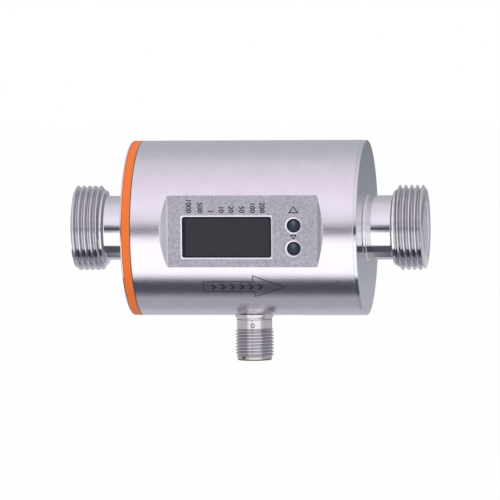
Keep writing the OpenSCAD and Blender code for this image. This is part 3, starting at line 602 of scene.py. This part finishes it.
class Plate:
    """Points and faces of thin closed plates on a surface."""

    def __init__(self, wrap):
        self.wrap, self.points, self.faces = wrap, [], []

    def ribbon(self, left, right, closed=False):
        """Adds the strip between two lines with equal numbers of points."""
        first, count = len(self.points), len(left)
        for a, b in zip(left, right):
            self.points += [self.wrap(*a, PRINT_RISE), self.wrap(*b, PRINT_RISE),
                            self.wrap(*b, -PRINT_SINK), self.wrap(*a, -PRINT_SINK)]
        for i in range(count if closed else count - 1):
            here, there = first + 4 * i, first + 4 * ((i + 1) % count)
            for k in range(4):
                m = (k + 1) % 4
                self.faces.append((here + k, here + m, there + m, there + k))
        if not closed:
            last = first + 4 * (count - 1)
            self.faces += [tuple(range(first, first + 4)), tuple(range(last + 3, last - 1, -1))]

    def outline(self, corners, width, parts=1):
        """Adds a line of a width along the inside of a closed outline."""
        inner = inset(corners, width)
        self.ribbon(divided(corners + corners[:1], parts)[:-1],
                    divided(inner + inner[:1], parts)[:-1], True)

    def ring(self, x, y, inner, outer, steps=32):
        """Adds a ring."""
        turns = [2 * math.pi * i / steps for i in range(steps)]
        self.ribbon([(x + outer * math.cos(t), y + outer * math.sin(t)) for t in turns],
                    [(x + inner * math.cos(t), y + inner * math.sin(t)) for t in turns], True)

    def finish(self, name):
        """Makes the printed piece."""
        return mesh_object(name, self.points, self.faces, ink, angle=20)


def flow_arrow():
    """Outline of an arrow along the flow, with plain chevrons in it."""
    plate = Plate(on_tube)
    mid, shaft, head = -18.72, 2.2, 4.6
    back, base, tip = 43.25, 58.8, 68.75
    plate.outline([(back, mid - shaft), (base, mid - shaft), (base, mid - head), (tip, mid),
                   (base, mid + head), (base, mid + shaft), (back, mid + shaft)], 0.26, 8)
    half, point, width = 1.1, 1.0, 0.8
    for i in range(6):
        x = 45.6 + 2.9 * i
        line = [(x, mid - half), (x + point, mid), (x, mid + half)]
        plate.ribbon(divided(line, 4), divided([(a + width, b) for a, b in line], 4))
    plate.finish("flow_arrow")


def button_signs():
    """A triangle that points up over the upper button, and one that points down between the
    buttons."""
    plate = Plate(on_flat)
    upper = BUTTON_PITCH / 2 + DISPLAY_Z
    for z, way, size in ((upper + 4.9, 1, 2.2), (DISPLAY_Z, -1, 1.5)):
        corners = [(BUTTON_X - 0.75 * size, z - way * size / 2),
                   (BUTTON_X + 0.75 * size, z - way * size / 2), (BUTTON_X, z + way * size / 2)]
        plate.outline(corners if way > 0 else corners[::-1], 0.30)
    plate.finish("button_signs")


def scale_numbers():
    """Plain numbers over the window, which read downwards and end in one row."""
    work = bmesh.new()
    numbers = {"1000": 39.37, "500": 42.88, "1": 46.30, "10": 49.50, "20": 52.61, "50": 55.87,
               "100": 59.22, "200": 62.22}
    lowest = 5.62
    for text, x in numbers.items():
        curve = bpy.data.curves.new("number", "FONT")
        curve.body = text
        curve.size = 2.2
        curve.offset = 0.045
        curve.extrude = (PRINT_RISE + PRINT_SINK) / 2
        curve.align_x, curve.align_y = "RIGHT", "CENTER"
        letters = bpy.data.objects.new("number", curve)
        mesh = bpy.data.meshes.new_from_object(letters)
        depth = -FLAT_FRONT - (PRINT_RISE - PRINT_SINK) / 2
        mesh.transform(Matrix(((0, 1, 0, x), (0, 0, -1, depth), (-1, 0, 0, lowest),
                               (0, 0, 0, 1))))
        work.from_mesh(mesh)
        bpy.data.objects.remove(letters)
        bpy.data.curves.remove(curve)
        bpy.data.meshes.remove(mesh)
    work.verts.index_update()
    points = [tuple(v.co) for v in work.verts]
    faces = [[v.index for v in face.verts] for face in work.faces]
    work.free()
    mesh_object("scale_numbers", points, faces, ink, angle=20)


def plug_marks():
    """Punched ring on the plug's neck and the coding notch at its tip."""
    plate = Plate(on_plug(PLUG_NECK_R))
    plate.ring(0.20, -30.30, 0.46, 0.68)
    plate.finish("punched_ring")
    plate = Plate(on_plug(PLUG_TIP_R))
    arc, half = -0.54 * PLUG_TIP_R, 0.6
    low, high = -40.68, -40.18
    plate.ribbon(divided([(arc - half, low), (arc + half, low)], 6),
                 divided([(arc - half, high), (arc + half, high)], 6))
    plate.finish("coding_notch")


flow_arrow()
button_signs()
scale_numbers()
plug_marks()


# ---- studio ----

# Brightness of the studio by the angle in degrees round the X axis: 0 is in front of the
# display, 90 above the object, -90 below it and 180 behind it
BANDS = [
    (-180, (0.26, 0.28, 0.31)), (-177.9, (0.26, 0.28, 0.31)), (-176.8, (0.52, 0.53, 0.58)),
    (-176, (0.68, 0.69, 0.74)), (-168, (0.62, 0.62, 0.68)), (-102, (0.64, 0.64, 0.70)),
    (-94, (0.10, 0.11, 0.14)), (-70, (0.11, 0.12, 0.15)), (-63, (1.60, 1.57, 1.62)),
    (-9, (1.60, 1.56, 1.62)), (-6, (0.12, 0.12, 0.15)), (2.5, (0.12, 0.12, 0.15)),
    (6, (1.05, 0.98, 1.08)), (30, (1.28, 1.20, 1.32)), (60, (1.12, 1.04, 1.16)),
    (90, (0.97, 0.90, 0.99)), (116, (0.70, 0.71, 0.74)), (150, (0.58, 0.59, 0.63)),
    (170, (0.52, 0.53, 0.57)), (178, (0.36, 0.37, 0.41)), (180, (0.26, 0.28, 0.31)),
]
DARK_GAP, FILLED_GAP, END_GREY = (0.12, 0.12, 0.15), (1.35, 1.30, 1.36), (0.66, 0.66, 0.70)


def studio_world():
    """Soft strip lights that run along the object, as rings of brightness round the X axis.
    The dark gap between two of them in front ends at the sides, and is wider in the two
    strips that the necks mirror, where the strip below is dark too. What the end faces mirror
    is grey. The camera sees plain white, and glossy surfaces see it too straight behind the
    object."""
    world = bpy.data.worlds.new("studio")
    world.use_nodes = True
    tree = world.node_tree
    tree.nodes.clear()
    x, y, z = parts_of(tree, add(tree, "ShaderNodeTexCoord").outputs["Generated"])
    height = calc(tree, "ARCTAN2", z, calc(tree, "MULTIPLY", y, -1.0))
    share = calc(tree, "ADD", calc(tree, "DIVIDE", height, 2 * math.pi), 0.5)
    light = ramp(tree, share, [((angle + 180) / 360, colour) for angle, colour in BANDS])

    # Light in the gap to both sides; heights are in radians, and x goes from -1 to 1
    level = edge(tree, away_from(tree, height, -0.03), 0.27, 0.18)
    aside = calc(tree, "MAXIMUM", edge(tree, x, -0.24, -0.32), edge(tree, x, -0.06, 0.02))
    light = blend(tree, calc(tree, "MULTIPLY", level, aside), light, FILLED_GAP)

    # The wider gap, and the dark strip below, where the left and the right neck look
    necks = calc(tree, "MAXIMUM", within(tree, x, -0.192, -0.188, -0.1755, -0.1735),
                 within(tree, x, -0.1255, -0.1235, -0.111, -0.107))
    dark = calc(tree, "MAXIMUM", within(tree, height, -0.28, -0.24, 0.18, 0.22),
                within(tree, height, -2.34, -2.26, -1.17, -1.13))
    light = blend(tree, calc(tree, "MULTIPLY", necks, dark), light, DARK_GAP)

    # Grey where the end faces look
    end = calc(tree, "MAXIMUM", edge(tree, x, -0.45, -0.65), edge(tree, x, 0.68, 0.82))
    light = blend(tree, end, light, END_GREY)

    lit = add(tree, "ShaderNodeBackground", {"Color": light, "Strength": 1.0})
    white = add(tree, "ShaderNodeBackground", {"Color": (1, 1, 1, 1), "Strength": 1.0})
    path = add(tree, "ShaderNodeLightPath").outputs
    mirrored = calc(tree, "MAXIMUM", path["Is Glossy Ray"], path["Is Transmission Ray"])
    behind = calc(tree, "MULTIPLY", mirrored, edge(tree, y, 0.998, 0.9995))
    seen = calc(tree, "MAXIMUM", path["Is Camera Ray"], behind)
    both = add(tree, "ShaderNodeMixShader", {0: seen, 1: lit.outputs[0], 2: white.outputs[0]})
    output = add(tree, "ShaderNodeOutputWorld")
    tree.links.new(both.outputs[0], output.inputs["Surface"])
    bpy.context.scene.world = world


def studio_floor():
    """A white floor under the plug. Most of what is seen of it is its own light, and the rest
    keeps a faint shadow. Glossy surfaces don't mirror it, because the photo's steel mirrors
    dark strips there."""
    made = bpy.data.materials.new("studio_floor")
    made.use_nodes = True
    tree = made.node_tree
    tree.nodes.clear()
    matte = add(tree, "ShaderNodeBsdfDiffuse", {"Color": (0.95, 0.95, 0.95, 1)})
    glow = add(tree, "ShaderNodeEmission", {"Color": (1, 1, 1, 1), "Strength": 1.0})
    path = add(tree, "ShaderNodeLightPath").outputs
    seen = calc(tree, "MAXIMUM", path["Is Camera Ray"],
                calc(tree, "MAXIMUM", path["Is Glossy Ray"], path["Is Transmission Ray"]))
    own = calc(tree, "MULTIPLY", seen, 0.98)
    both = add(tree, "ShaderNodeMixShader", {0: own, 1: matte.outputs[0], 2: glow.outputs[0]})
    output = add(tree, "ShaderNodeOutputMaterial")
    tree.links.new(both.outputs[0], output.inputs["Surface"])
    half_m, low = 3.0, -(PLUG_REACH + 0.1) * MM
    mesh = bpy.data.meshes.new("studio_floor")
    mesh.from_pydata([(-half_m, -half_m, low), (half_m, -half_m, low), (half_m, half_m, low),
                      (-half_m, half_m, low)], [], [(0, 1, 2, 3)])
    mesh.materials.append(made)
    floor = bpy.data.objects.new("studio_floor", mesh)
    bpy.context.scene.collection.objects.link(floor)
    floor.visible_glossy = False


def studio_camera():
    """The photograph's camera. It looks at the middle of the meter, shifted in the picture,
    from a distance in millimetres."""
    azimuth, elevation, roll = (math.radians(a) for a in (8.586, 2.884, 0.476))
    shift_right, shift_up, distance = -0.242, -6.97, 1515
    back = Vector((math.sin(azimuth) * math.cos(elevation),
                   -math.cos(azimuth) * math.cos(elevation), math.sin(elevation)))
    right = Vector((math.cos(azimuth), math.sin(azimuth), 0))
    up = back.cross(right)
    across = right * math.cos(roll) - up * math.sin(roll)
    upright = right * math.sin(roll) + up * math.cos(roll)
    place = (Vector((METER_LEN / 2, 0, 0)) + across * shift_right + upright * shift_up
             + back * distance) * MM
    data = bpy.data.cameras.new("camera")
    data.lens = 349.8
    data.sensor_width = 36
    data.clip_start, data.clip_end = 0.1, 20
    camera = bpy.data.objects.new("camera", data)
    bpy.context.scene.collection.objects.link(camera)
    turn = Matrix((across, upright, back)).transposed().to_4x4()
    camera.matrix_world = Matrix.Translation(place) @ turn
    bpy.context.scene.camera = camera


studio_world()
studio_floor()
studio_camera()
bpy.context.scene.view_settings.view_transform = "Standard"
